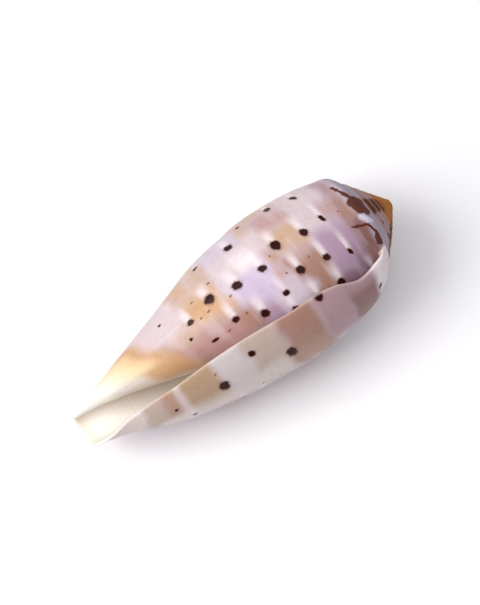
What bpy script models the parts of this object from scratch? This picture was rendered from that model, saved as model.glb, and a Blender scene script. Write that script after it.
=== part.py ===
"""Circumcised cone shell, whole, lying on its side with the aperture facing up.

The shell is one wall wound round an axis, so one formula gives its outer skin.
A point of the skin has two coordinates. "Along" runs down the outline of the
lip, from 0 at the canal end to 1 at the suture. "Turn" counts the turns grown
since, back from the lip: 0 is the lip itself, and 1 is the same place on the
turn before it, which the lip's turn covers up to its shoulder. The inner side
of the wall, the core inside the aperture and the spire all use that formula.

Shell axes: X along the coiling axis from the canal end to the apex.
"""
import math

import bmesh
import bpy
import numpy as np
from mathutils import Matrix

# Driving dimensions, in metres, turns and degrees
MM = 0.001
LENGTH = 60 * MM          # canal end to the point that the spiral winds in to
TURN_GROWTH = 1.28        # how many times bigger each turn is than the last
LIP_ANGLE = 123.6         # place of the lip's edge round the axis, from +Y towards +Z
AXIS_TILT = 3.2           # the spire end lies higher than the canal end
REST_FLAT = 0.33 * MM     # the belly is flattened by this much where it rests, to lie still
WALL = 1.8 * MM           # wall at its thickest, before the room between two turns thins it
LIP_WALL = 0.6 * MM       # wall at the lip's edge
LIP_WALL_TURN = 0.6       # the wall reaches its full thickness this far behind the lip
HOLLOW_TURN = 0.95        # how far the hollow behind the aperture goes round
CORE_THINS_FROM = 0.7     # the core thins from here to the hollow's far end, a guess for balance
CORE_THINNED = 0.85       # share of the core's radius that is gone at the far end
SPIRE_TURNS = 9           # turns that show on the spire
APEX_DROP = 0.4 * MM      # the worn apex stops this short of the winding point
CANAL_BEND = 1.1 * MM     # the pillar leans off the axis at the canal end
CANAL_BEND_LENGTH = 28 * MM
CANAL_BEND_TURN = 0.69    # the side it leans to, in turns behind the lip
CANAL_BEND_GROWS = (0.17, 0.83)   # the lean sets in over these turns
RIM_FACES_FORWARD = 0.1   # share of the outline over which the wall turns flat at the canal end
SHARP_EDGE = 40           # sharper edges than this are shaded as edges

# Outline of the shell at the lip: distance from the canal end, radius
OUTLINE = np.array([(0, 4.4), (2.5, 5.7), (6, 7.6), (12, 10.5), (20, 12.05), (28, 12.9),
                    (36, 13.3), (42, 12.9), (46.5, 12.1), (49.5, 11.35), (51.8, 10.7)]) * MM

# How fast the coil tightens at a distance from the canal end: the radius
# shrinks by e to this power in each turn. It is an even spiral past the last.
COIL_AT = np.array([0, 6, 14, 22, 32]) * MM
COIL = np.array([2.75, 1.75, 0.95, 0.4, math.log(TURN_GROWTH)])

# Below the first distance the coil is flat, past the second it winds up the spire
WIND_UP = (5 * MM, 32 * MM)

# Lines of growth and the lip's edge run back from the lip's middle by this
# angle: a slanting corner at the canal, a shallow notch at the shoulder
LIP_LAG_AT = np.array([0, 2.5, 5, 9, 15, 24, 34, 43, 47, 51.8]) * MM
LIP_LAG = np.array([58, 36.5, 18.5, 7, 2.6, 0, 2.5, 7.3, 17, 15.5])

# Below the lip the shoulder is flatter than round by a share of the radius. The
# flat side sets in, holds and fades over these angles and distances.
SIDE_FLAT = 0.12
SIDE_FLAT_ANGLES = (130, 180, 205, 260)
SIDE_FLAT_AT = (48 * MM, 53 * MM, 53.5 * MM, 58 * MM)

# Mesh steps
TURN_STEPS = 40           # steps in one turn
BODY_STEPS = 19           # steps along the outline, canal end to shoulder
RAMP_STEPS = 4            # steps from the shoulder to the suture
ROOF_RAMP_STEP = 2        # the hollow's roof starts at this step of the ramp
DIFFERENCE = 0.001        # step of the slopes taken along the outline

NAME = "cone_shell"


def curve(knots, values, at):
    """A smooth curve through the values at the knots."""
    slopes = np.gradient(values, knots)
    i = np.clip(np.searchsorted(knots, at, side="right") - 1, 0, len(knots) - 2)
    span = knots[i + 1] - knots[i]
    t = np.clip((at - knots[i]) / span, 0, 1)
    return ((1 + 2 * t) * (1 - t) ** 2 * values[i]
            + t * (1 - t) ** 2 * span * slopes[i]
            + t * t * (3 - 2 * t) * values[i + 1]
            + t * t * (t - 1) * span * slopes[i + 1])


def ease(start, end, at):
    """0 before start, 1 after end, and smooth between them."""
    t = np.clip((at - start) / (end - start), 0, 1)
    return t * t * (3 - 2 * t)


def window(places, at):
    """0 outside the first and last place, 1 between the middle two."""
    sets_in, holds, fades, ends = places
    return ease(sets_in, holds, at) * (1 - ease(fades, ends, at))


def close_outline():
    """The outline with its suture point, and how far along it each point is.

    The suture lies on the shoulder of the turn before, which is the outline's
    last point drawn in towards the apex by one turn.
    """
    shoulder = OUTLINE[-1]
    suture = (LENGTH - (LENGTH - shoulder[0]) / TURN_GROWTH, shoulder[1] / TURN_GROWTH)
    points = np.vstack([OUTLINE, suture])
    steps = np.hypot(*np.diff(points, axis=0).T)
    along = np.concatenate([[0], np.cumsum(steps)]) / steps.sum()
    return points, along


OUTLINE_POINTS, OUTLINE_ALONG = close_outline()
SHOULDER = OUTLINE_ALONG[-2]


def coil(along, turn):
    """Distance from the canal end, radius and angle of a point of the skin."""
    x = curve(OUTLINE_ALONG, OUTLINE_POINTS[:, 0], along)
    radius = curve(OUTLINE_ALONG, OUTLINE_POINTS[:, 1], along)
    wound = LENGTH - (LENGTH - x) * (1 + ease(*WIND_UP, x) * (TURN_GROWTH ** -turn - 1))
    drawn_in = radius * np.exp(-curve(COIL_AT, COIL, x) * turn)
    angle = LIP_ANGLE + 360 * turn + curve(LIP_LAG_AT, LIP_LAG, x)
    flatter = SIDE_FLAT * window(SIDE_FLAT_ANGLES, angle % 360) * window(SIDE_FLAT_AT, wound)
    return wound, drawn_in * (1 - flatter), np.radians(angle)


def place(turn, x, radius, angle):
    """A point of the shell from its place round the axis."""
    lean = CANAL_BEND * (1 - ease(0, CANAL_BEND_LENGTH, x)) * ease(*CANAL_BEND_GROWS, turn)
    side = math.radians(LIP_ANGLE + 360 * CANAL_BEND_TURN)
    return (x, radius * np.cos(angle) + lean * math.cos(side),
            radius * np.sin(angle) + lean * math.sin(side))


def skin_point(along, turn):
    return place(turn, *coil(along, turn))


def wall_point(along, turn):
    """The inner side of the wall, under a point of the skin."""
    x, radius, angle = coil(along, turn)
    ahead = coil(along + DIFFERENCE, turn)
    behind = coil(along - DIFFERENCE, turn)
    run, rise = ahead[0] - behind[0], ahead[1] - behind[1]
    slope_length = math.hypot(run, rise)
    room = radius - coil(along, turn + 1)[1]
    thickness = LIP_WALL + (WALL - LIP_WALL) * ease(0, LIP_WALL_TURN, turn)
    thickness *= 1 - math.exp(-room / thickness)
    inward_x = rise / slope_length * ease(0, RIM_FACES_FORWARD, along)
    inward_radius = -run / slope_length
    return place(turn, x + thickness * inward_x, radius + thickness * inward_radius, angle)


def core_point(along, turn):
    """The core inside the hollow, this far behind the lip."""
    x, radius, angle = coil(along, 1 + turn)
    thinned = CORE_THINNED * ease(CORE_THINS_FROM, HOLLOW_TURN, turn)
    return place(1 + turn, x, radius * (1 - thinned), angle)


def bridge(bm, chain_a, chain_b):
    """Faces between two chains of vertices, which may meet at their ends."""
    a, b = 0, 0
    last_a, last_b = len(chain_a) - 1, len(chain_b) - 1
    while a < last_a or b < last_b:
        step_a = a < last_a and (b == last_b or (a + 1) * last_b <= (b + 1) * last_a)
        step_b = b < last_b and (a == last_a or (b + 1) * last_a <= (a + 1) * last_b)
        corners = [chain_a[a], chain_b[b]]
        if step_b:
            b += 1
            corners.append(chain_b[b])
        if step_a:
            a += 1
            corners.append(chain_a[a])
        corners = list(dict.fromkeys(corners))
        if len(corners) > 2:
            bm.faces.new(corners)


def build_shell():
    """The whole shell as one closed mesh."""
    bm = bmesh.new()
    columns = BODY_STEPS + RAMP_STEPS
    hollow_rows = round(HOLLOW_TURN * TURN_STEPS)
    spire_rows = SPIRE_TURNS * TURN_STEPS
    body = np.linspace(0, SHOULDER, BODY_STEPS + 1)
    ramp = np.linspace(SHOULDER, 1, RAMP_STEPS + 1)
    along = np.concatenate([body, ramp[1:]])
    skin_verts = {}
    wall_verts = {}
    core_verts = {}

    def skin(row, column):
        # the suture of one turn is the shoulder of the turn before it
        key = (row + TURN_STEPS, BODY_STEPS) if column == columns else (row, column)
        if key not in skin_verts:
            point = skin_point(along[key[1]], key[0] / TURN_STEPS)
            skin_verts[key] = bm.verts.new(point)
        return skin_verts[key]

    def wall(row, column):
        key = (row, column)
        if key not in wall_verts:
            wall_verts[key] = bm.verts.new(wall_point(along[column], row / TURN_STEPS))
        return wall_verts[key]

    def core(row, column):
        # the core starts as the skin of the turn before, just inside the lip
        if row == 0:
            return skin(TURN_STEPS, column)
        key = (row, column)
        if key not in core_verts:
            core_verts[key] = bm.verts.new(core_point(along[column], row / TURN_STEPS))
        return core_verts[key]

    def skin_row(row, first, last):
        return [skin(row, column) for column in range(first, last + 1)]

    def wall_row(row):
        return [wall(row, column) for column in range(roof_outer + 1)]

    def core_row(row):
        return [core(row, column) for column in range(roof_inner + 1)]

    roof_outer = BODY_STEPS + ROOF_RAMP_STEP
    roof_inner = BODY_STEPS - 1

    # outer skin of the last turn, then the ramp of the spire
    for row in range(TURN_STEPS):
        bridge(bm, skin_row(row, 0, columns), skin_row(row + 1, 0, columns))
    for row in range(TURN_STEPS, spire_rows):
        bridge(bm, skin_row(row, BODY_STEPS, columns), skin_row(row + 1, BODY_STEPS, columns))

    # the hollow behind the aperture: its core side, wall side, roof and far end
    for row in range(hollow_rows):
        bridge(bm, core_row(row), core_row(row + 1))
        bridge(bm, wall_row(row), wall_row(row + 1))
    bridge(bm, [wall(row, roof_outer) for row in range(hollow_rows + 1)],
           [core(row, roof_inner) for row in range(hollow_rows + 1)])
    bridge(bm, wall_row(hollow_rows), core_row(hollow_rows))

    # edge of the lip, up to where it joins the turn before
    bridge(bm, skin_row(0, 0, roof_outer), wall_row(0))
    bridge(bm, skin_row(0, roof_outer, columns),
           [wall(0, roof_outer)] + skin_row(TURN_STEPS, roof_inner, BODY_STEPS))

    # rim of the canal end, and the end of the pillar
    bridge(bm, [skin(row, 0) for row in range(hollow_rows + 1)],
           [wall(row, 0) for row in range(hollow_rows + 1)])
    bridge(bm, [skin(row, 0) for row in range(hollow_rows, TURN_STEPS + 1)],
           [wall(hollow_rows, 0)] + [core(row, 0) for row in range(hollow_rows, -1, -1)])

    # worn apex, over the open end of the last small turn
    apex = bm.verts.new((LENGTH - APEX_DROP, 0, 0))
    rim = [skin(row, columns) for row in range(spire_rows - TURN_STEPS, spire_rows + 1)]
    rim += [skin(spire_rows, column) for column in range(columns - 1, BODY_STEPS - 1, -1)]
    for first, second in zip(rim, rim[1:]):
        bm.faces.new((first, second, apex))

    bmesh.ops.recalc_face_normals(bm, faces=bm.faces)
    return bm


def lay_down(bm):
    """Tilt the axis, flatten the lowest place and put it on the ground, centred on the origin."""
    tilt = Matrix.Rotation(math.radians(-AXIS_TILT), 4, "Y")
    bmesh.ops.transform(bm, matrix=tilt, verts=bm.verts)
    points = np.array([vert.co for vert in bm.verts])
    low, high = points.min(axis=0), points.max(axis=0)
    middle = (low + high) / 2
    ground = low[2] + REST_FLAT
    for vert in bm.verts:
        vert.co.z = max(vert.co.z, ground)
    bmesh.ops.translate(bm, vec=(-middle[0], -middle[1], -ground), verts=bm.verts)


def shell_material():
    material = bpy.data.materials.new("shell")
    material.use_nodes = True
    shader = material.node_tree.nodes["Principled BSDF"]
    shader.inputs["Base Color"].default_value = (0.60, 0.45, 0.47, 1)
    shader.inputs["Roughness"].default_value = 0.3
    shader.inputs["Metallic"].default_value = 0
    return material


def main():
    for old in list(bpy.data.objects):
        bpy.data.objects.remove(old, do_unlink=True)
    collection = bpy.data.collections.new("circumcised_cone_shell")
    bpy.context.scene.collection.children.link(collection)
    bm = build_shell()
    lay_down(bm)
    mesh = bpy.data.meshes.new(NAME)
    bm.to_mesh(mesh)
    bm.free()
    mesh.materials.append(shell_material())
    mesh.shade_smooth()
    mesh.set_sharp_from_angle(angle=math.radians(SHARP_EDGE))
    collection.objects.link(bpy.data.objects.new(NAME, mesh))


main()
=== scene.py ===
"""Circumcised cone shell, lying on a pale floor with its aperture up."""
import math

import bpy
import numpy as np
from mathutils import Matrix, Vector


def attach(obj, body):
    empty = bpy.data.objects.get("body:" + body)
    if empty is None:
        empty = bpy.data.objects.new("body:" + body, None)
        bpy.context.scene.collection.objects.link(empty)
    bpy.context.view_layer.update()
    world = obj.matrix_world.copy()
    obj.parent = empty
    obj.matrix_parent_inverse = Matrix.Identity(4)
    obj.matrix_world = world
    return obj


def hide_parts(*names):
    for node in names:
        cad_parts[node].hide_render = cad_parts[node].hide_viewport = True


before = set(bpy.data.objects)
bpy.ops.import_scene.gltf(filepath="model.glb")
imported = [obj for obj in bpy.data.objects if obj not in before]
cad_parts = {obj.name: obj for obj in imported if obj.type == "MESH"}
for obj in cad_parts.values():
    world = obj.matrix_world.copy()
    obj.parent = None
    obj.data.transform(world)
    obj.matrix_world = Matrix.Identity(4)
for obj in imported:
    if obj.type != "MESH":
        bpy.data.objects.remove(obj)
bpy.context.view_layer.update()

MM = 0.001

# The winding rule of the shell, the same as in the solid. Angles are in
# degrees, and turns are counted backwards from the lip.
LENGTH = 60 * MM
TURN_GROWTH = 1.28             # size of a turn against the one before it
LIP_ANGLE = 123.6
AXIS_TILT = 3.2
REST_FLAT = 0.33 * MM          # how much of the belly is flat, measured upwards
WALL = 1.8 * MM
LIP_WALL = 0.6 * MM
LIP_WALL_TURN = 0.6            # where the wall has its full thickness
HOLLOW_TURN = 0.95             # where the hollow ends
CORE_THINS_FROM = 0.7
CORE_THINNED = 0.85
SPIRE_TURNS = 9
APEX_DROP = 0.4 * MM
CANAL_BEND = 1.1 * MM          # the canal end leans to one side
CANAL_BEND_LENGTH = 28 * MM
CANAL_BEND_TURN = 0.69
CANAL_BEND_GROWS = (0.17, 0.83)
RIM_FACES_FORWARD = 0.1
# Distance from the canal end and radius of the lip's turn, from the canal to the shoulder
OUTLINE = np.array([(0, 4.4), (2.5, 5.7), (6, 7.6), (12, 10.5), (20, 12.05), (28, 12.9),
                    (36, 13.3), (42, 12.9), (46.5, 12.1), (49.5, 11.35), (51.8, 10.7)]) * MM
# How fast the radius shrinks and how far the lip lags behind, by distance from the canal end
COIL_AT = np.array([0, 6, 14, 22, 32]) * MM
COIL = np.array([2.75, 1.75, 0.95, 0.4, math.log(TURN_GROWTH)])
WIND_UP = (5 * MM, 32 * MM)
LIP_LAG_AT = np.array([0, 2.5, 5, 9, 15, 24, 34, 43, 47, 51.8]) * MM
LIP_LAG = np.array([58, 36.5, 18.5, 7, 2.6, 0, 2.5, 7.3, 17, 15.5])
# One side is flatter beside the spire: by how much, at which angles and how far along
SIDE_FLAT = 0.12
SIDE_FLAT_ANGLES = (130, 180, 205, 260)
SIDE_FLAT_AT = (48 * MM, 53 * MM, 53.5 * MM, 58 * MM)

# Mesh steps
TURN_STEPS = 180
BODY_STEPS = 120
RAMP_STEPS = 10
EDGE_STEPS = 4
DIFFERENCE = 0.001
WELD = 0.00002 * MM

# Rounded edges of the lip and the canal
RIM_BULGE = 0.5
LIP_TOP_BULGE = 0.15
LIP_AHEAD = 0.002              # turns past the lip, to find which way it grows
CORNER_LENGTH = 0.05           # the corner between them, in turns and along the outline
PILLAR_WHITENS = (0.05, 0.13)  # turns into the hollow where the skin's colour ends

# Colours as on a screen, 0 to 255
COLOURS = {
    "white": (246, 240, 230),
    "cream": (238, 228, 202),
    "yellow": (236, 214, 170),
    "straw": (230, 196, 154),
    "orange": (204, 160, 118),
    "pale orange": (204, 170, 142),
    "tan": (186, 152, 134),
    "pale tan": (202, 174, 158),
    "pale streak": (222, 210, 204),
    "dash white": (242, 230, 232),
    "grey white": (212, 202, 200),
    "pink white": (216, 198, 200),
    "pink": (196, 162, 160),
    "lavender white": (210, 196, 208),
    "lavender": (206, 188, 212),
    "mauve lavender": (178, 148, 170),
    "mauve": (184, 152, 158),
    "mauve brown": (154, 116, 114),
    "brown tan": (172, 132, 116),
    "rose tan": (184, 144, 140),
    "umber": (138, 100, 96),
    "olive tan": (188, 158, 130),
    "grey beige": (196, 176, 162),
    "dark mauve": (152, 118, 136),
    # pale lavender ground darkened with painted shade
    "lavender with painted shade": (176, 160, 176),
    "brown": (116, 56, 16),
    "dark brown": (64, 22, 6),
    "orange brown": (180, 112, 40),
    "streak white": (238, 226, 230),
    "mottle brown": (146, 104, 96),
    "cloud lavender": (202, 180, 206),
    "line brown": (140, 104, 100),
    "halo brown": (150, 86, 70),
    "speck brown": (136, 66, 46),
    "stroke white": (226, 220, 234),
    "stroke brown": (90, 38, 10),
    "spot brown": (48, 12, 6),
    "inside white": (250, 244, 234),
    # painted shade deeper in the hollow
    "inside painted shade": (226, 206, 190),
    "rim cream": (232, 214, 186),
    "lip tan": (206, 184, 172),
}

# The canal end: colour by place along the outline, where the bands run a
# little further up the shell with each part of a turn
CANAL = [(0.00, "white"), (0.09, "white"), (0.125, "cream"), (0.16, "yellow"), (0.182, "straw"),
         (0.203, "orange"), (0.225, "pale orange")]
CANAL_SLANT = 0.27             # along the outline for each turn
CANAL_SLANT_FROM = 0.70        # the turn where the bands above are met
CANAL_ENDS = (0.205, 0.24)
CANAL_SIDE = (0.17, 0.22)      # turns where the bands start, past the lip
CANAL_WOBBLE = 0.016
CANAL_PACE = 0.4

# Patches of colour from the canal end to the suture: turns behind the lip,
# place along the outline, colour. A later patch lies over an earlier one.
PATCHES = [
    (0.60, 0.88, 0.18, 0.30, "pink white"),
    (0.88, 1.20, 0.18, 0.30, "tan"),
    (0.66, 0.92, 0.30, 0.35, "pink white"),
    (0.92, 1.20, 0.29, 0.36, "rose tan"),
    (0.88, 0.96, 0.30, 0.355, "pale tan"),
    (0.66, 0.80, 0.35, 0.40, "pale orange"),
    (0.80, 0.90, 0.35, 0.44, "pale orange"),
    (0.90, 0.945, 0.36, 0.45, "pale orange"),
    (0.85, 0.92, 0.36, 0.43, "orange"),
    (0.94, 1.20, 0.35, 0.45, "rose tan"),
    (0.66, 0.84, 0.40, 0.45, "pale tan"),
    (0.66, 0.80, 0.45, 0.57, "lavender white"),
    (0.80, 0.88, 0.45, 0.57, "pink white"),
    (0.82, 0.88, 0.50, 0.565, "dash white"),
    (0.88, 0.975, 0.45, 0.57, "lavender"),
    (0.975, 1.20, 0.45, 0.53, "mauve lavender"),
    (0.975, 1.20, 0.53, 0.59, "lavender white"),
    (0.94, 1.02, 0.435, 0.475, "brown tan"),
    (0.66, 0.80, 0.57, 0.62, "pale tan"),
    (0.80, 0.87, 0.57, 0.62, "pink white"),
    (0.87, 0.91, 0.575, 0.62, "tan"),
    (0.91, 0.96, 0.57, 0.62, "pink"),
    (0.96, 1.20, 0.59, 0.62, "lavender white"),
    (0.66, 0.76, 0.62, 0.74, "pale tan"),
    (0.76, 0.83, 0.62, 0.74, "pink"),
    (0.83, 0.90, 0.62, 0.74, "pale orange"),
    (0.90, 1.20, 0.62, 0.74, "brown tan"),
    (0.96, 1.005, 0.60, 0.66, "lavender white"),
    (0.66, 0.80, 0.74, 0.83, "pink white"),
    (0.80, 0.885, 0.74, 0.83, "pink white"),
    (0.885, 1.00, 0.74, 0.83, "mauve lavender"),
    (1.00, 1.20, 0.74, 0.83, "dark mauve"),
    (0.66, 0.80, 0.83, 0.88, "pink white"),
    (0.80, 0.86, 0.83, 0.88, "pink"),
    (0.86, 1.20, 0.83, 0.88, "mauve lavender"),
    (0.94, 1.20, 0.83, 0.88, "dark mauve"),
    (0.66, 0.80, 0.88, 0.925, "mauve"),
    (0.80, 0.87, 0.875, 0.925, "brown tan"),
    (0.86, 1.20, 0.875, 0.935, "mauve brown"),
    (0.895, 0.97, 0.885, 0.93, "umber"),
    # the ramp by the suture: pale lavender ground with painted shade
    (0.66, 1.20, 0.935, 1.1, "lavender with painted shade"),
    (-0.1, 0.15, -0.1, 0.05, "white"),
    (-0.1, 0.15, 0.05, 0.17, "pale streak"),
    (-0.1, 0.15, 0.17, 0.225, "grey beige"),
    (-0.1, 0.15, 0.225, 0.285, "tan"),
    (-0.1, 0.15, 0.285, 0.398, "olive tan"),
    (-0.1, 0.15, 0.398, 0.485, "grey white"),
    (-0.1, 0.15, 0.485, 0.59, "grey beige"),
    (-0.1, 0.15, 0.59, 0.705, "brown tan"),
    (0.07, 0.15, 0.60, 0.705, "tan"),
    (-0.1, 0.15, 0.705, 0.80, "mauve"),
    (-0.1, 0.15, 0.80, 0.90, "mauve brown"),
    (-0.1, 0.02, 0.80, 0.90, "mauve"),
    (-0.1, 0.15, 0.90, 1.1, "dash white"),
    (0.085, 0.15, 0.20, 0.58, "pale streak"),
    (-0.1, 0.12, 0.278, 0.287, "dash white"),
]

# Stains over the canal's bands: turns, place along the slanted bands, colour, strength
CANAL_STAINS = [
    (0.93, 1.20, 0.05, 0.14, "pale streak", 0.7),
    (0.94, 1.20, 0.14, 0.23, "orange", 0.8),
]

# On the unseen side the same bands go on, with blocks of these colours in turn
BANDS = [
    (0.25, 0.30, ("tan", "pale tan", "pale orange")),
    (0.30, 0.36, ("pink white", "lavender white")),
    (0.36, 0.45, ("tan", "pale tan", "brown tan")),
    (0.45, 0.56, ("lavender white", "pink white", "lavender")),
    (0.56, 0.62, ("pink", "pink white")),
    (0.62, 0.73, ("tan", "brown tan", "pale tan")),
    (0.73, 0.83, ("lavender", "lavender white")),
    (0.83, 0.88, ("mauve", "lavender")),
    (0.88, 0.925, ("tan", "mauve brown", "pale tan")),
    # some blocks by the suture are lavender with painted shade
    (0.925, 1.1, ("lavender with painted shade", "pink white", "brown")),
]
UNSEEN = (0.15, 0.64)          # turns behind the lip
UNSEEN_BLOCK = (0.05, 0.12)    # length of a block in turns

# Softness of an edge, in turns and along the outline
PATCH_EDGE = (0.026, 0.016)
STAIN_EDGE = (0.03, 0.015)

# The patches' edges wander by a sum of waves
WOBBLE = (0.020, 0.011)        # how far, in turns and along the outline
RIPPLE_WAVES = 6
RIPPLE_TURN = (15, 90)         # radians a turn
RIPPLE_ALONG = (12, 70)        # radians along the whole outline
RIPPLE_START = (0, 6.3)

# Pale dashes before the spots
DASH_LENGTH = 5.2 * MM
DASH_HEIGHT = (0.36, 0.32)     # share of the spot's height at the spot, and added at the far end
DASH_STRENGTH = 0.85
DASH_SPOTS = (0.8, 1.3)        # spots up to the first width in mm have none, from the second a full one
DASH_STARTS = (0, 0.15)        # shares of the dash's length
DASH_FADES = (0.35, 1.1)
DASH_SIDES = (0.2, 1.5)        # shares of its height

# The spire. Its turns are counted from the lip, and strengths go from 0 to 1.
SPIRE_FROM = (1.0, 1.06)
SPIRE_FROM_ALONG = (0.90, 0.93)
# Painted shade: grey-lavender over the lower turns, fading out between the two turns given
SPIRE_PAINTED_SHADE = 0.7
SPIRE_PAINTED_SHADE_UNTIL = (2.8, 4.0)
SPIRE_ORANGE = 0.9
SPIRE_ORANGE_FROM = (3.5, 5.5)
BLOTCHES_A_TURN = 5
BLOTCH_SHIFT = -0.6
BLOTCH_WANDER = 0.8
BLOTCH_LEAN = 1 / 30           # how little the wandering changes across a turn
BLOTCH_EDGE = (-0.3, 0.5)
BLOTCH_BROWN = (0.2, 0.8)      # strength between the blotches, and added in them
BLOTCH_DARK = 0.7
BLOTCH_MIDDLE = (0.2, 0.9, 0.2)
SUTURE_PALE = 0.6
SUTURE_LINE = 0.22             # width of the pale line at each suture, as a share of the ramp

# Spots: turns behind the lip, place along the outline, width round the shell
# and height along it in mm
SPOTS = [
    (0.865, 0.635, 2.2, 1.9), (0.945, 0.645, 1.8, 1.7), (0.870, 0.410, 2.2, 1.3),
    (0.892, 0.475, 1.7, 1.4), (0.787, 0.530, 1.7, 1.4), (0.875, 0.735, 1.7, 1.5),
    (1.025, 0.735, 1.8, 1.7), (0.992, 0.483, 1.8, 1.3), (0.895, 0.553, 1.5, 1.4),
    (1.025, 0.555, 1.4, 1.3), (1.025, 0.644, 1.3, 1.2), (0.750, 0.710, 1.6, 1.3),
    (0.952, 0.742, 1.4, 1.4), (0.962, 0.424, 1.4, 0.9), (0.975, 0.560, 1.2, 1.2),
    (0.882, 0.352, 1.5, 0.9), (0.750, 0.800, 1.6, 1.2), (0.848, 0.817, 1.5, 0.95),
    (0.952, 0.824, 1.3, 0.9), (1.035, 0.865, 1.2, 1.1), (0.984, 0.367, 0.8, 0.8),
    (0.750, 0.440, 0.9, 0.8), (0.740, 0.600, 0.9, 0.8), (0.794, 0.305, 0.7, 0.45),
    (0.932, 0.333, 0.8, 0.5),
    (0.065, 0.390, 2.0, 1.5), (0.078, 0.587, 2.2, 1.6), (0.030, 0.497, 1.2, 1.1),
    (0.002, 0.730, 1.4, 1.3), (0.055, 0.253, 0.7, 0.7), (0.115, 0.288, 0.8, 0.6),
    (0.065, 0.905, 1.1, 0.9),
]

# Strokes on the shoulder: where each starts and ends, in turns behind the lip
# and along the outline, and its width in mm
BROWN_STROKES = [
    ((0.762, 0.922), (0.800, 0.936), 0.7), ((0.800, 0.936), (0.826, 0.948), 1.0),
    ((0.838, 0.935), (0.868, 0.945), 2.0), ((0.838, 0.962), (0.876, 0.970), 2.8),
    ((0.832, 0.985), (0.850, 0.980), 1.6), ((0.874, 0.955), (0.880, 0.975), 1.4),
    ((0.914, 0.934), (0.945, 0.944), 0.6), ((0.945, 0.944), (0.984, 0.939), 0.9),
    ((0.958, 0.940), (0.974, 0.936), 1.5), ((0.893, 0.885), (0.914, 0.934), 0.5),
    ((1.946, 0.978), (1.954, 0.978), 0.8), ((2.004, 0.963), (2.012, 0.963), 0.8),
]
PALE_STROKES = [
    ((0.885, 0.932), (0.904, 0.944), 1.5), ((0.904, 0.950), (0.913, 0.962), 0.9),
]

# Small orange-brown specks: turns behind the lip, place along the outline
SPECKS = [
    (0.880, 0.595), (0.935, 0.600), (0.965, 0.450), (0.930, 0.695), (0.837, 0.877),
    (0.890, 0.880), (0.835, 0.380), (0.833, 0.432), (0.895, 0.372), (0.895, 0.393),
    (0.980, 0.400), (0.710, 0.860), (0.025, 0.387), (0.130, 0.477), (0.904, 0.448),
]
SPECK_SIZE = 0.48              # mm

# The rows of spots go on over the unseen side
SPOT_ROWS = (0.345, 0.405, 0.475, 0.555, 0.645, 0.735, 0.820)
UNSEEN_SPOTS_UNTIL = 0.70      # turns behind the lip
FIRST_SPOT = (0.0, 0.08)       # turns into the unseen side
SPOT_STEP = (0.07, 0.15)       # turns from one spot to the next
SPOT_ASIDE = (-0.008, 0.008)
SPOT_SIZE = (0.8, 1.9)         # mm
SPOT_SHAPE = (1.1, 0.9)        # width and height against that size


def curve(knots, values, at):
    """A smooth curve through the values at the knots."""
    slopes = np.gradient(values, knots)
    i = np.clip(np.searchsorted(knots, at, side="right") - 1, 0, len(knots) - 2)
    span = knots[i + 1] - knots[i]
    t = np.clip((at - knots[i]) / span, 0, 1)
    return ((1 + 2 * t) * (1 - t) ** 2 * values[i]
            + t * (1 - t) ** 2 * span * slopes[i]
            + t * t * (3 - 2 * t) * values[i + 1]
            + t * t * (t - 1) * span * slopes[i + 1])


def ease(start, end, at):
    """0 before start, 1 after end, and smooth between them."""
    t = np.clip((at - start) / (end - start), 0, 1)
    return t * t * (3 - 2 * t)


def window(places, at):
    """0 outside the first and last place, 1 between the middle two."""
    sets_in, holds, fades, ends = places
    return ease(sets_in, holds, at) * (1 - ease(fades, ends, at))


def close_outline():
    """The outline with its suture point, and how far along it each point is."""
    shoulder = OUTLINE[-1]
    suture = (LENGTH - (LENGTH - shoulder[0]) / TURN_GROWTH, shoulder[1] / TURN_GROWTH)
    points = np.vstack([OUTLINE, suture])
    steps = np.hypot(*np.diff(points, axis=0).T)
    along = np.concatenate([[0], np.cumsum(steps)]) / steps.sum()
    return points, along


OUTLINE_POINTS, OUTLINE_ALONG = close_outline()
SHOULDER = OUTLINE_ALONG[-2]
OUTLINE_LENGTH = np.hypot(*np.diff(OUTLINE_POINTS, axis=0).T).sum()


def girth(along):
    """How far it is round the lip's turn at this place."""
    return 2 * math.pi * float(curve(OUTLINE_ALONG, OUTLINE_POINTS[:, 1], np.array(along)))


def unseen_spots():
    """Spots of the unseen side, in the same rows."""
    rng = np.random.default_rng(21)
    spots = []
    for row in SPOT_ROWS:
        turn = UNSEEN[0] + rng.uniform(*FIRST_SPOT)
        while turn < UNSEEN_SPOTS_UNTIL:
            size = rng.uniform(*SPOT_SIZE)
            along = row + rng.uniform(*SPOT_ASIDE)
            spots.append((turn, along, size * SPOT_SHAPE[0], size * SPOT_SHAPE[1]))
            turn += rng.uniform(*SPOT_STEP)
    return spots


def linear(colour):
    """An 8-bit screen colour as light."""
    c = np.array(colour) / 255
    return np.where(c <= 0.04045, c / 12.92, ((c + 0.055) / 1.055) ** 2.4)


def unseen_patches():
    """Blocks of colour in each band of the unseen side."""
    rng = np.random.default_rng(7)
    blocks = []
    for low, high, names in BANDS:
        turn = UNSEEN[0]
        while turn < UNSEEN[1]:
            size = rng.uniform(*UNSEEN_BLOCK)
            blocks.append((turn, turn + size, low, high, names[rng.integers(len(names))]))
            turn += size
    return blocks


def ripple(turn, along, seed, pace=1):
    """Wandering between -1 and 1, slower at a lower pace."""
    rng = np.random.default_rng(seed)
    total = 0
    for _ in range(RIPPLE_WAVES):
        a, b, c = rng.uniform(*RIPPLE_TURN), rng.uniform(*RIPPLE_ALONG), rng.uniform(*RIPPLE_START)
        total = total + np.sin(pace * (a * turn + b * along) + c)
    return total / RIPPLE_WAVES


def plain(name, shape):
    """One colour all over."""
    return np.ones((*shape, 3)) * linear(COLOURS[name])


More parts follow.
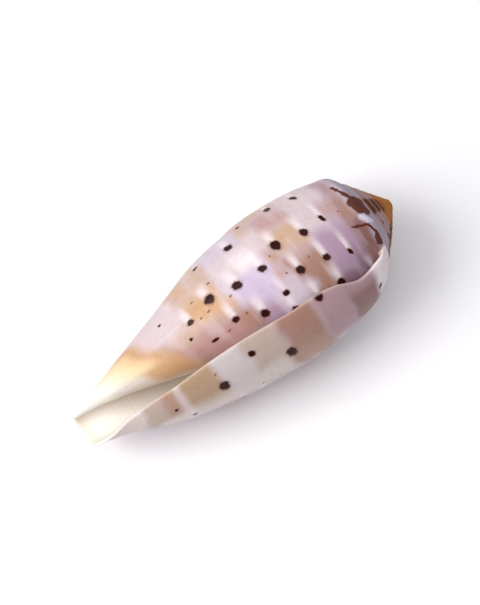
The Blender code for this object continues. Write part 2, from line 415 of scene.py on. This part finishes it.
def colour_along(stops, at):
    """The colour between named stops."""
    knots = [stop[0] for stop in stops]
    colours = np.array([linear(COLOURS[stop[1]]) for stop in stops])
    return np.stack([np.interp(at, knots, colours[:, channel]) for channel in range(3)], -1)


def laid_over(tint, name, mask):
    """The tint with a colour over it, as strong as the mask."""
    return tint * (1 - mask[..., None]) + linear(COLOURS[name]) * mask[..., None]


def within(low, high, edge, at):
    """1 between two places, with soft edges."""
    return window((low - edge, low + edge, high - edge, high + edge), at)


def dashes(turn, along):
    """The pale dashes before the spots: broad and faint at first, narrow and bright at the spot."""
    strength = np.zeros(turn.shape)
    behind_lip = [spot for spot in SPOTS + unseen_spots() if spot[0] > UNSEEN[0]]
    for spot_turn, spot_along, width, height in behind_lip:
        before = (spot_turn - turn) * girth(spot_along) / DASH_LENGTH
        widened = DASH_HEIGHT[0] + DASH_HEIGHT[1] * np.clip(before, 0, 1)
        aside = np.abs(along - spot_along) * OUTLINE_LENGTH / (height * MM * widened)
        dash = ease(*DASH_STARTS, before) * (1 - ease(*DASH_FADES, before)) * (1 - ease(*DASH_SIDES, aside))
        strength = np.maximum(strength, dash * ease(*DASH_SPOTS, width))
    return strength


def spire_colour(turn, along):
    """Lower turns greyed with painted shade, with brown blotches and a pale line along each suture, orange
    towards the tip.
    """
    across = (along - SHOULDER) / (1 - SHOULDER)
    wave = 2 * math.pi * turn * BLOTCHES_A_TURN + BLOTCH_SHIFT
    wander = BLOTCH_WANDER * ripple(turn, across * BLOTCH_LEAN, seed=11)
    blotch = ease(*BLOTCH_EDGE, np.sin(wave + wander))
    tint = plain("orange brown", turn.shape)
    # painted shade: grey-lavender over the lower turns
    tint = laid_over(tint, "lavender with painted shade", SPIRE_PAINTED_SHADE * (1 - ease(*SPIRE_PAINTED_SHADE_UNTIL, turn)))
    tint = laid_over(tint, "brown", BLOTCH_BROWN[0] + BLOTCH_BROWN[1] * blotch)
    tint = laid_over(tint, "dark brown", BLOTCH_DARK * blotch * within(*BLOTCH_MIDDLE, across))
    tint = laid_over(tint, "pale tan", SUTURE_PALE * (1 - ease(0, SUTURE_LINE, across)))
    return laid_over(tint, "orange brown", SPIRE_ORANGE * ease(*SPIRE_ORANGE_FROM, turn))


def painted(turn, along):
    """The colour of the skin at these places."""
    t = turn + WOBBLE[0] * ripple(turn, along, seed=3)
    a = along + WOBBLE[1] * ripple(turn, along, seed=5)
    tint = plain("lavender white", turn.shape)
    for first, last, low, high, name in unseen_patches() + PATCHES:
        patch = within(first, last, PATCH_EDGE[0], t) * within(low, high, PATCH_EDGE[1], a)
        tint = laid_over(tint, name, patch)

    slanted = (along - CANAL_SLANT * (turn - CANAL_SLANT_FROM)
               + CANAL_WOBBLE * ripple(turn, along, seed=9, pace=CANAL_PACE))
    canal = ((1 - ease(*CANAL_ENDS, slanted)) * ease(*CANAL_SIDE, turn))[..., None]
    tint = tint * (1 - canal) + colour_along(CANAL, slanted) * canal
    for first, last, low, high, name, strength in CANAL_STAINS:
        stain = within(first, last, STAIN_EDGE[0], t) * within(low, high, STAIN_EDGE[1], slanted)
        tint = laid_over(tint, name, strength * stain)

    tint = laid_over(tint, "dash white", DASH_STRENGTH * dashes(turn, along))
    on_spire = (ease(*SPIRE_FROM, turn) * ease(*SPIRE_FROM_ALONG, along))[..., None]
    return tint * (1 - on_spire) + spire_colour(turn, along) * on_spire


def coil(turn, along):
    """Distance from the canal end, radius and angle of points of the skin."""
    x = curve(OUTLINE_ALONG, OUTLINE_POINTS[:, 0], along)
    radius = curve(OUTLINE_ALONG, OUTLINE_POINTS[:, 1], along)
    wound = LENGTH - (LENGTH - x) * (1 + ease(*WIND_UP, x) * (TURN_GROWTH ** -turn - 1))
    drawn_in = radius * np.exp(-curve(COIL_AT, COIL, x) * turn)
    angle = LIP_ANGLE + 360 * turn + curve(LIP_LAG_AT, LIP_LAG, x)
    flatter = SIDE_FLAT * window(SIDE_FLAT_ANGLES, angle % 360) * window(SIDE_FLAT_AT, wound)
    return wound, drawn_in * (1 - flatter), np.radians(angle)


def place(turn, x, radius, angle):
    """Points of the shell from their place round the axis."""
    lean = CANAL_BEND * (1 - ease(0, CANAL_BEND_LENGTH, x)) * ease(*CANAL_BEND_GROWS, turn)
    side = math.radians(LIP_ANGLE + 360 * CANAL_BEND_TURN)
    return np.stack([x, radius * np.cos(angle) + lean * math.cos(side),
                     radius * np.sin(angle) + lean * math.sin(side)], -1)


def skin_points(turn, along):
    """The outer side of the wall."""
    return place(turn, *coil(turn, along))


def wall_points(turn, along):
    """The inner side of the wall."""
    x, radius, angle = coil(turn, along)
    ahead = coil(turn, along + DIFFERENCE)
    behind = coil(turn, along - DIFFERENCE)
    run, rise = ahead[0] - behind[0], ahead[1] - behind[1]
    slope_length = np.hypot(run, rise)
    room = radius - coil(turn + 1, along)[1]
    thickness = LIP_WALL + (WALL - LIP_WALL) * ease(0, LIP_WALL_TURN, turn)
    thickness = thickness * (1 - np.exp(-room / thickness))
    inward_x = rise / slope_length * ease(0, RIM_FACES_FORWARD, along)
    inward_radius = -run / slope_length
    return place(turn, x + thickness * inward_x, radius + thickness * inward_radius, angle)


def core_points(turn, along):
    """The core inside the hollow, this far behind the lip."""
    x, radius, angle = coil(turn + 1, along)
    thinned = CORE_THINNED * ease(CORE_THINS_FROM, HOLLOW_TURN, turn)
    return place(turn + 1, x, radius * (1 - thinned), angle)


def rounded_edge(outer, inner, outwards):
    """A sheet's points over the edge between two rows, bulging outwards by half its thickness."""
    steps = np.linspace(0, math.pi, EDGE_STEPS + 1)
    middle = (outer + inner) / 2
    half = (outer - inner) / 2
    bulge = outwards * np.linalg.norm(half, axis=-1, keepdims=True)
    return (middle[None] + half[None] * np.cos(steps)[:, None, None]
            + bulge[None] * np.sin(steps)[:, None, None])


def straight(first, last, steps):
    """A sheet's points on straight lines between two rows."""
    share = np.linspace(0, 1, steps + 1)[:, None, None]
    return first[None] * (1 - share) + last[None] * share


def rounded_dome(ring, top):
    """A sheet's points from a ring up to one top point, rounded like the end of an egg."""
    steps = np.linspace(0, math.pi / 2, EDGE_STEPS + 1)[:, None, None]
    centre = ring.mean(axis=0)
    height = top - centre
    return centre + (ring - centre)[None] * np.cos(steps) + height * np.sin(steps)


def add_sheet(name, points, turns, alongs, inside):
    """A grid bent to the points, with its place on the shell as UV map and its side as attribute."""
    rows, columns = points.shape[:2]
    bpy.ops.object.select_all(action="DESELECT")
    bpy.ops.mesh.primitive_grid_add(x_subdivisions=columns - 1, y_subdivisions=rows - 1, size=1)
    sheet = bpy.context.object
    sheet.name = name
    mesh = sheet.data
    flat = np.empty(len(mesh.vertices) * 3, np.float32)
    mesh.vertices.foreach_get("co", flat)
    flat = flat.reshape(-1, 3)
    column = np.rint((flat[:, 0] + 0.5) * (columns - 1)).astype(int)
    row = np.rint((flat[:, 1] + 0.5) * (rows - 1)).astype(int)
    mesh.vertices.foreach_set("co", points[row, column].astype(np.float32).ravel())
    corner = np.empty(len(mesh.loops), np.int32)
    mesh.loops.foreach_get("vertex_index", corner)

    def at_corners(values):
        return np.broadcast_to(values, (rows, columns))[row, column][corner].astype(np.float32)

    growth = np.stack([at_corners(turns), at_corners(alongs)], -1)
    mesh.uv_layers[0].name = "growth"
    mesh.uv_layers[0].data.foreach_set("uv", growth.ravel())
    sides = at_corners(inside)
    mesh.attributes.new("inside", "FLOAT", "CORNER").data.foreach_set("value", sides)
    colours = painted(*(np.broadcast_to(values, (rows, columns)) for values in (turns, alongs)))
    tint = np.ones((len(corner), 4), np.float32)
    tint[:, :3] = colours[row, column][corner]
    mesh.attributes.new("tint", "FLOAT_COLOR", "CORNER").data.foreach_set("color", tint.ravel())
    return sheet


def lip_and_rim(skin, wall, along, hollow):
    """The way the lip grows, and the edges of the lip and the canal, which meet in a rounded corner."""
    ahead = skin_points(np.full(len(along), -LIP_AHEAD), along) - skin[0]
    ahead /= np.linalg.norm(ahead, axis=-1, keepdims=True)
    end_on = np.array([-1.0, 0, 0])
    corner_way = (ahead[0] + end_on) / 2
    share = ease(0, CORNER_LENGTH, along)[:, None]
    lip_way = ahead * share + corner_way * (1 - share)
    share = ease(0, CORNER_LENGTH, hollow)[:, None]
    rim_way = end_on * RIM_BULGE * share + corner_way * (1 - share)
    columns = wall.shape[1]
    lip_edge = rounded_edge(skin[0, :columns], wall[0], lip_way[:columns])
    rim = rounded_edge(skin[:len(hollow), 0], wall[:, 0], rim_way)
    return lip_way, lip_edge, rim


def build_sheets():
    """The sheets of the shell, which meet along their edges."""
    along = np.concatenate([np.linspace(0, SHOULDER, BODY_STEPS + 1),
                            np.linspace(SHOULDER, 1, RAMP_STEPS + 1)[1:]])
    hollow_rows = round(HOLLOW_TURN * TURN_STEPS)
    last_turn = np.linspace(0, 1, TURN_STEPS + 1)
    hollow = last_turn[:hollow_rows + 1]
    spire = np.linspace(1, SPIRE_TURNS, (SPIRE_TURNS - 1) * TURN_STEPS + 1)
    ramp = along[BODY_STEPS:]
    outer_end = BODY_STEPS + RAMP_STEPS // 2      # the hollow's roof starts on the ramp
    inner_end = BODY_STEPS - RAMP_STEPS // 2      # and ends on the core
    wall_along = along[:outer_end + 1]
    core_along = along[:inner_end + 1]

    def grid(points, turns, alongs):
        return points(turns[:, None] + 0 * alongs, alongs + 0 * turns[:, None])

    skin = grid(skin_points, last_turn, along)
    tip = grid(skin_points, spire, ramp)
    wall = grid(wall_points, hollow, wall_along)
    core = grid(core_points, hollow, core_along)
    roof = straight(wall[:, -1], core[:, -1], RAMP_STEPS)

    lip_way, lip_edge, rim = lip_and_rim(skin, wall, along, hollow)

    # past the roof the lip runs up onto the turn before it and ends at the suture
    lip_side = np.concatenate([np.repeat(skin[0, outer_end][None], RAMP_STEPS, 0), skin[0, outer_end:]])
    body_side = np.concatenate([roof[:, 0], skin[-1, inner_end + 1:BODY_STEPS + 1]])
    lip_top_way = np.repeat(lip_way[outer_end][None], len(lip_side), 0)
    lip_top_way *= (1 - ease(0, RAMP_STEPS, np.arange(len(lip_side)))[:, None] * (1 - LIP_TOP_BULGE))
    lip_top = rounded_edge(lip_side, body_side, lip_top_way)

    far_core = np.concatenate([core[-1], roof[::-1, -1][1:]])
    far_end = straight(wall[-1], far_core, RAMP_STEPS)
    apex_ring = np.concatenate([tip[-1 - TURN_STEPS:, -1], tip[-1, ::-1][1:]])
    apex = rounded_dome(apex_ring, np.array([LENGTH - APEX_DROP, 0, 0]))
    tip_ring = np.concatenate([skin[hollow_rows:, 0], core[1:, 0], far_end[::-1, 0][1:], rim[::-1, -1][1:]])
    pillar_tip = straight(tip_ring, np.broadcast_to(place(1, 0, 0, 0), tip_ring.shape), 1)
    edge_side = np.linspace(0, 1, EDGE_STEPS + 1)[:, None]
    return [
        add_sheet("skin", skin, last_turn[:, None], along, 0),
        add_sheet("spire", tip, spire[:, None], ramp, 0),
        add_sheet("wall", wall, hollow[:, None], wall_along, 1),
        add_sheet("core", core, 1 + hollow[:, None], core_along, ease(*PILLAR_WHITENS, hollow)[:, None]),
        add_sheet("lip_edge", lip_edge, 0, wall_along, edge_side),
        add_sheet("canal_rim", rim, hollow, 0, edge_side),
        add_sheet("lip_top", lip_top, 0, SHOULDER, 1),
        add_sheet("roof", roof, hollow, SHOULDER, 1),
        add_sheet("far_end", far_end, HOLLOW_TURN, wall_along, 1),
        add_sheet("apex", apex, SPIRE_TURNS, 1, 0),
        add_sheet("pillar_tip", pillar_tip, 1, 0, 0),
    ]


def build_shell():
    """The shell as one closed skin."""
    sheets = build_sheets()
    bpy.ops.object.select_all(action="DESELECT")
    for sheet in sheets:
        sheet.select_set(True)
    bpy.context.view_layer.objects.active = sheets[0]
    bpy.ops.object.join()
    shell = bpy.context.object
    shell.name = "shell"
    bpy.ops.object.mode_set(mode="EDIT")
    bpy.ops.mesh.select_mode(type="EDGE")
    bpy.ops.mesh.select_all(action="SELECT")
    bpy.ops.mesh.remove_doubles(threshold=WELD)
    bpy.ops.mesh.normals_make_consistent(inside=False)
    bpy.ops.object.mode_set(mode="OBJECT")
    lay_down(shell)
    bpy.ops.object.shade_smooth()
    return shell


def lay_down(shell):
    """Tilt the axis, flatten the lowest place and put it on the ground, centred on the origin."""
    mesh = shell.data
    mesh.transform(Matrix.Rotation(math.radians(-AXIS_TILT), 4, "Y"))
    points = np.empty(len(mesh.vertices) * 3)
    mesh.vertices.foreach_get("co", points)
    points = points.reshape(-1, 3)
    low, high = points.min(axis=0), points.max(axis=0)
    ground = low[2] + REST_FLAT
    points[:, 2] = np.maximum(points[:, 2], ground)
    points -= ((low[0] + high[0]) / 2, (low[1] + high[1]) / 2, ground)
    mesh.vertices.foreach_set("co", points.ravel())
    mesh.update()


class Value:
    """A shader socket that can be used in sums."""

    def __init__(self, maker, socket):
        self.maker = maker
        self.socket = socket

    def math(self, operation, *others):
        return self.maker.node("ShaderNodeMath", {"operation": operation}, (self, *others))

    def __add__(self, other):
        return self.math("ADD", other)

    __radd__ = __add__

    def __mul__(self, other):
        return self.math("MULTIPLY", other)

    def __sub__(self, other):
        return self.math("SUBTRACT", other)

    def __rsub__(self, other):
        return self.maker.node("ShaderNodeMath", {"operation": "SUBTRACT"}, (other, self))

    def smallest(self, other):
        return self.math("MINIMUM", other)

    def largest(self, other):
        return self.math("MAXIMUM", other)

    def sine(self):
        return self.math("SINE")

    def ramp(self, start, end):
        """0 at start, 1 at end, smooth between them."""
        settings = {"interpolation_type": "SMOOTHSTEP"}
        return self.maker.node("ShaderNodeMapRange", settings, (self, start, end, 0, 1))


def set_inputs(tree, node, values):
    """Set or link a node's inputs; values is a tuple in socket order or a dict by socket."""
    pairs = values.items() if isinstance(values, dict) else enumerate(values)
    for name, value in pairs:
        if isinstance(value, Value):
            tree.links.new(value.socket, node.inputs[name])
        else:
            node.inputs[name].default_value = value


class Maker:
    """Adds nodes to one material."""

    def __init__(self, material):
        self.tree = material.node_tree

    def node(self, kind, settings=None, inputs=(), output=0):
        """A new node, as the value of one of its outputs."""
        made = self.tree.nodes.new(kind)
        for name, value in (settings or {}).items():
            setattr(made, name, value)
        set_inputs(self.tree, made, inputs)
        return Value(self, made.outputs[output])

    def attribute(self, name, output="Fac"):
        return self.node("ShaderNodeAttribute", {"attribute_name": name}, output=output)

    def vector(self, operation, *inputs, output="Vector"):
        return self.node("ShaderNodeVectorMath", {"operation": operation}, inputs, output)

    def scaled(self, vector, scale):
        inputs = {"Vector": vector, "Scale": scale}
        return self.node("ShaderNodeVectorMath", {"operation": "SCALE"}, inputs)

    def mix(self, factor, first, second):
        """A mix of two colours; the sockets between the factor and them are for numbers and vectors."""
        return self.node("ShaderNodeMix", {"data_type": "RGBA"}, {0: factor, 6: first, 7: second}, output=2)


def nearest_of(lengths):
    """The smallest of several lengths."""
    nearest = lengths[0]
    for length in lengths[1:]:
        nearest = nearest.smallest(length)
    return nearest


def spot_distance(maker, spots, place_on_shell):
    """Distance from the nearest spot's middle, where its edge is 1."""
    lengths = []
    for turn, along, width, height in spots:
        half_turn = width * MM / 2 / girth(along)
        half_along = height * MM / 2 / OUTLINE_LENGTH
        offset = maker.vector("SUBTRACT", place_on_shell, (turn, along, 0))
        offset = maker.vector("MULTIPLY", offset, (1 / half_turn, 1 / half_along, 0))
        lengths.append(maker.vector("LENGTH", offset, output="Value"))
    return nearest_of(lengths)


def stroke_distance(maker, strokes, place_on_shell):
    """Distance from the nearest stroke's middle line, where its edge is 1."""
    round_shoulder = 2 * math.pi * OUTLINE[-1][1] / MM
    to_mm = Vector((round_shoulder, OUTLINE_LENGTH / MM, 0))
    in_mm = maker.vector("MULTIPLY", place_on_shell, to_mm)
    lengths = []
    for start, end, width in strokes:
        first, last = (Vector((turn * to_mm.x, along * to_mm.y, 0)) for turn, along in (start, end))
        way = last - first
        offset = maker.vector("SUBTRACT", in_mm, first)
        share = maker.vector("DOT_PRODUCT", offset, way / way.length_squared, output="Value")
        foot = maker.scaled(way, share.smallest(1).largest(0))
        aside = maker.vector("SUBTRACT", offset, foot)
        lengths.append(maker.vector("LENGTH", aside, output="Value") * (2 / width))
    return nearest_of(lengths)


def shade(name):
    """A colour of the list for a shader, with full alpha."""
    return (*linear(COLOURS[name]), 1)


# Fine patterns: steps a turn, steps along the outline, detail and roughness of the noise
GROWTH_LINES = (150, 5, 3, 0.5)
STREAKS = (6, 30, 2, 0.5)
MOTTLE = (60, 50, 4, 0.6)
CLOUDS = (14, 12, 3, 0.55)
MARK_EDGES = (110, 90, 1, 0.5)
MARK_WANDER = 0.0035           # how far the marks' edges wander, in turns and along the outline

# What each pattern adds: where its colour starts, where it is full, its strength and the colour
STREAK_WASH = (0.50, 0.80, 0.22, "streak white")
MOTTLE_WASH = (0.50, 0.78, 0.12, "mottle brown")
CLOUD_WASH = (0.50, 0.80, 0.12, "cloud lavender")
LINE_WASH = (0.45, 0.75, 0.05, "line brown")
WASH_ENDS = (1.0, 1.2)         # turns where streaks and clouds end, on the spire
STREAKED_TURN = (0.12, 0.22)
STREAKED_ALONG = (0.15, 0.40)

# Marks: how far from the middle the colour is full, where it is gone, its strength and the colour
HALO_MARK = (1.0, 1.7, 0.35, "halo brown")
SPECK_MARK = (0.6, 1.2, 0.85, "speck brown")
PALE_MARK = (0.2, 1.5, 0.8, "stroke white")
BROWN_MARK = (0.7, 1.2, 0.95, "stroke brown")
SPOT_MARK = (0.80, 1.24, 1, "spot brown")

# The inside: white near the aperture and tan deeper in, which is painted shade, with a stained rim and a
# line along the lip
INSIDE_PAINTED_SHADE = (0.2, 0.8)
RIM_STAIN = 0.45
RIM_STAIN_ENDS = (0.0, 0.04)
LIP_LINE = 0.7
LIP_LINE_TURN = (0.0, 0.02)
LIP_LINE_ALONG = (0.1, 0.25)

# Relief: fine threads near the canal end, growth lines and mottle
THREADS = 62
THREADS_START = (0.02, 0.15)
THREADS_END = (0.36, 0.5)
THREAD_RELIEF = 0.18
LINE_RELIEF = 0.35
MOTTLE_RELIEF = 0.15
RELIEF = {"Strength": 0.5, "Distance": 0.06 * MM}

# Gloss: the shoulder and the spire are duller
ROUGHNESS = 0.32
MOTTLE_ROUGHNESS = 0.16
DULL_ROUGHNESS = 0.35
DULL_FROM = (0.92, 0.96)
GLOSS = {"Specular IOR Level": 0.12, "Coat Weight": 0.03, "Coat Roughness": 0.15,
         "Subsurface Weight": 0.15, "Subsurface Radius": (1.0, 0.6, 0.4), "Subsurface Scale": 1.5 * MM}


def new_material(name):
    """A material with its shader node."""
    material = bpy.data.materials.new(name)
    material.use_nodes = True
    return material, material.node_tree.nodes["Principled BSDF"]


def shell_material():
    """Glossy shell: the painted colours, spots, growth lines and fine threads."""
    material, shader = new_material("shell_surface")
    maker = Maker(material)
    growth = maker.node("ShaderNodeUVMap", {"uv_map": "growth"})
    turn = maker.node("ShaderNodeSeparateXYZ", inputs=(growth,), output="X")
    along = maker.node("ShaderNodeSeparateXYZ", inputs=(growth,), output="Y")
    inside = maker.attribute("inside")
    outside = 1 - inside

    def noise(steps_a_turn, steps_along, detail, roughness, output="Fac"):
        stretched = maker.vector("MULTIPLY", growth, (steps_a_turn, steps_along, 0))
        return maker.node("ShaderNodeTexNoise", {"noise_dimensions": "2D"},
                          {"Vector": stretched, "Scale": 1.0, "Detail": detail, "Roughness": roughness},
                          output)

    def washed(skin, pattern, rule, mask=None):
        """The skin with a wash of colour where the pattern is strong."""
        start, full, strength, name = rule
        amount = pattern.ramp(start, full) * strength
        return maker.mix(amount if mask is None else amount * mask, skin, shade(name))

    def marked(skin, distance, rule):
        """The skin with marks of one colour on the outside."""
        full, gone, strength, name = rule
        return maker.mix((1 - distance.ramp(full, gone)) * outside * strength, skin, shade(name))

    # growth lines run along the lip, streaks run round the shell
    lines = noise(*GROWTH_LINES)
    mottle = noise(*MOTTLE)
    before_spire = 1 - turn.ramp(*WASH_ENDS)
    streaked = along.ramp(*STREAKED_ALONG) * turn.ramp(*STREAKED_TURN) * outside * before_spire
    skin = washed(maker.attribute("tint", "Color"), noise(*STREAKS), STREAK_WASH, streaked)
    skin = washed(skin, mottle, MOTTLE_WASH)
    skin = washed(skin, noise(*CLOUDS), CLOUD_WASH, before_spire)
    skin = washed(skin, lines, LINE_WASH)

    wander = maker.scaled(noise(*MARK_EDGES, output="Color"), 2 * MARK_WANDER)
    wander = maker.vector("SUBTRACT", wander, (MARK_WANDER, MARK_WANDER, MARK_WANDER))
    mark_place = maker.vector("ADD", growth, wander)
    speck_spots = [(speck_turn, speck_along, SPECK_SIZE, SPECK_SIZE) for speck_turn, speck_along in SPECKS]
    spots = spot_distance(maker, SPOTS + unseen_spots(), mark_place)
    skin = marked(skin, spots, HALO_MARK)
    skin = marked(skin, spot_distance(maker, speck_spots, mark_place), SPECK_MARK)
    skin = marked(skin, stroke_distance(maker, PALE_STROKES, mark_place), PALE_MARK)
    skin = marked(skin, stroke_distance(maker, BROWN_STROKES, mark_place), BROWN_MARK)
    skin = marked(skin, spots, SPOT_MARK)

    # painted shade: the inside turns tan deeper into the hollow
    cavity = maker.mix(turn.ramp(*INSIDE_PAINTED_SHADE), shade("inside white"), shade("inside painted shade"))
    rim = 1 - along.ramp(*RIM_STAIN_ENDS)
    cavity = maker.mix(rim * RIM_STAIN, cavity, shade("rim cream"))
    lip_line = (1 - turn.ramp(*LIP_LINE_TURN)) * along.ramp(*LIP_LINE_ALONG)
    cavity = maker.mix(lip_line * LIP_LINE, cavity, shade("lip tan"))

    threads = (along * (2 * math.pi * THREADS)).sine()
    near_canal = along.ramp(*THREADS_START) * (1 - along.ramp(*THREADS_END))
    height = lines * LINE_RELIEF + mottle * MOTTLE_RELIEF + threads * THREAD_RELIEF * near_canal
    set_inputs(material.node_tree, shader, {
        "Base Color": maker.mix(inside, skin, cavity),
        "Roughness": ROUGHNESS + mottle * MOTTLE_ROUGHNESS + along.ramp(*DULL_FROM) * DULL_ROUGHNESS,
        "Normal": maker.node("ShaderNodeBump", inputs={**RELIEF, "Height": height}),
        **GLOSS})
    return material


# Camera: the angle and distance of the photo
CAMERA_AZIMUTH = -35.753
CAMERA_ELEVATION = 72.179
CAMERA_DISTANCE = 280 * MM
CAMERA_LENS = 140.7
CAMERA_SENSOR = 36
CAMERA_CLIP = 10 * MM
CAMERA_TARGET = Vector((-0.52, -1.03, 21.7)) * MM


def add_camera():
    azimuth, elevation = math.radians(CAMERA_AZIMUTH), math.radians(CAMERA_ELEVATION)
    back = Vector((math.sin(azimuth) * math.cos(elevation), -math.cos(azimuth) * math.cos(elevation),
                   math.sin(elevation)))
    data = bpy.data.cameras.new("camera")
    data.lens = CAMERA_LENS
    data.sensor_fit = "HORIZONTAL"
    data.sensor_width = CAMERA_SENSOR
    data.clip_start = CAMERA_CLIP
    camera = bpy.data.objects.new("camera", data)
    bpy.context.collection.objects.link(camera)
    camera.location = CAMERA_TARGET + back * CAMERA_DISTANCE
    camera.rotation_euler = back.to_track_quat("Z", "Y").to_euler()
    bpy.context.scene.camera = camera


# Light: a soft lamp at the left of the picture, a wide ceiling lamp and a pale room, in metres and watts
LAMP_POWER = 2.7
LAMP_SIZE = 0.36
LAMP_DISTANCE = 0.60
LAMP_LEFT = 0.88
LAMP_BEHIND = -0.28
LAMP_UP = 1.0
LAMP_COLOUR = (1.0, 0.985, 0.965)
CEILING_POWER = 6.2
CEILING_SIZE = 1.2
CEILING_HEIGHT = 0.9
CEILING_COLOUR = (0.97, 0.97, 1.0)
ROOM = {"Color": (0.93, 0.93, 1.0, 1), "Strength": 0.18}
FLOOR_SIZE = 3
FLOOR = {"Base Color": (0.96, 0.955, 0.965, 1), "Roughness": 0.9, "Specular IOR Level": 0.1}


def add_lamp(name, way, distance, size, power, colour):
    """A square lamp that faces the origin, from a direction and distance."""
    data = bpy.data.lights.new(name, "AREA")
    data.shape = "SQUARE"
    data.size = size
    data.energy = power
    data.color = colour
    lamp = bpy.data.objects.new(name, data)
    bpy.context.collection.objects.link(lamp)
    lamp.location = way * distance
    lamp.rotation_euler = way.to_track_quat("Z", "Y").to_euler()


def add_light():
    azimuth = math.radians(CAMERA_AZIMUTH)
    right = Vector((math.cos(azimuth), math.sin(azimuth), 0))
    far = Vector((-math.sin(azimuth), math.cos(azimuth), 0))
    up = Vector((0, 0, 1))
    way = (far * LAMP_BEHIND - right * LAMP_LEFT + up * LAMP_UP).normalized()
    add_lamp("lamp", way, LAMP_DISTANCE, LAMP_SIZE, LAMP_POWER, LAMP_COLOUR)
    add_lamp("ceiling", up, CEILING_HEIGHT, CEILING_SIZE, CEILING_POWER, CEILING_COLOUR)
    world = bpy.data.worlds.new("room")
    world.use_nodes = True
    set_inputs(world.node_tree, world.node_tree.nodes["Background"], ROOM)
    bpy.context.scene.world = world


def add_floor():
    bpy.ops.object.select_all(action="DESELECT")
    bpy.ops.mesh.primitive_plane_add(size=FLOOR_SIZE)
    floor = bpy.context.object
    floor.name = "floor"
    material, shader = new_material("floor")
    set_inputs(material.node_tree, shader, FLOOR)
    floor.data.materials.append(material)


shell = build_shell()
shell.data.materials.append(shell_material())
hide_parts("cone_shell")
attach(shell, "root")
add_floor()
add_light()
add_camera()
bpy.context.scene.view_settings.view_transform = "Standard"
